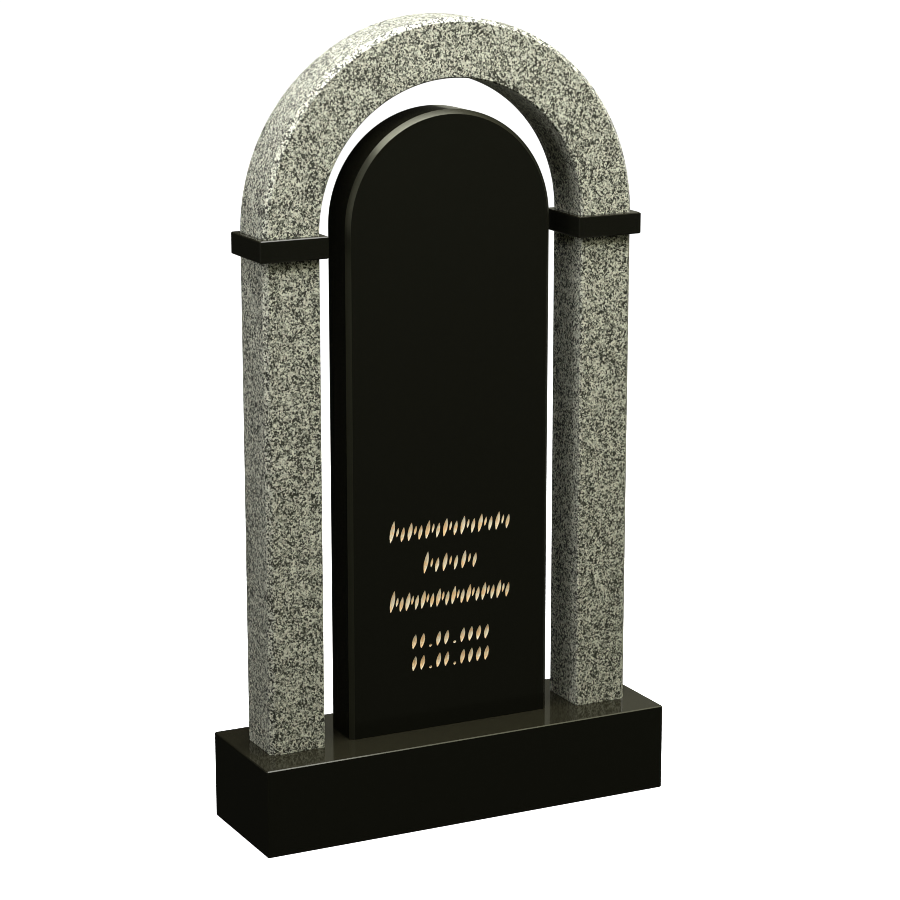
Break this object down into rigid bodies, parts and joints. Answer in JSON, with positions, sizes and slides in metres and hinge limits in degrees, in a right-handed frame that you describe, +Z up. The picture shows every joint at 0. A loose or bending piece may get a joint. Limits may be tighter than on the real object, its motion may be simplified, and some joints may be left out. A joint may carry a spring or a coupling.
{
  "type": "headstone",
  "caption": "Round-topped black stele under a grey granite arch on two pillars with black capitals, on one plinth, with rows of plain gilt strokes in the inscription's place.",
  "frame": {"origin": "middle of the plinth's underside, where it rests on its foundation", "axes": "+X along the plinth, to the right of someone facing the inscription; -Y towards that person; +Z up"},
  "size_m": [1, 0.3, 1.7986],
  "materials": {
    "black_granite": "polished black granite with very fine, barely visible grains and honed arrises",
    "grey_granite": "fine-ground light grey granite, closely speckled with pale and near-black grains of 2 to 5 mm"
  },
  "bodies": {
    "root": {"plinth": "black_granite", "stele": "black_granite", "left_pillar": "grey_granite", "right_pillar": "grey_granite", "left_capital": "black_granite", "right_capital": "black_granite", "arch": "grey_granite"}
  },
  "joints": []
}
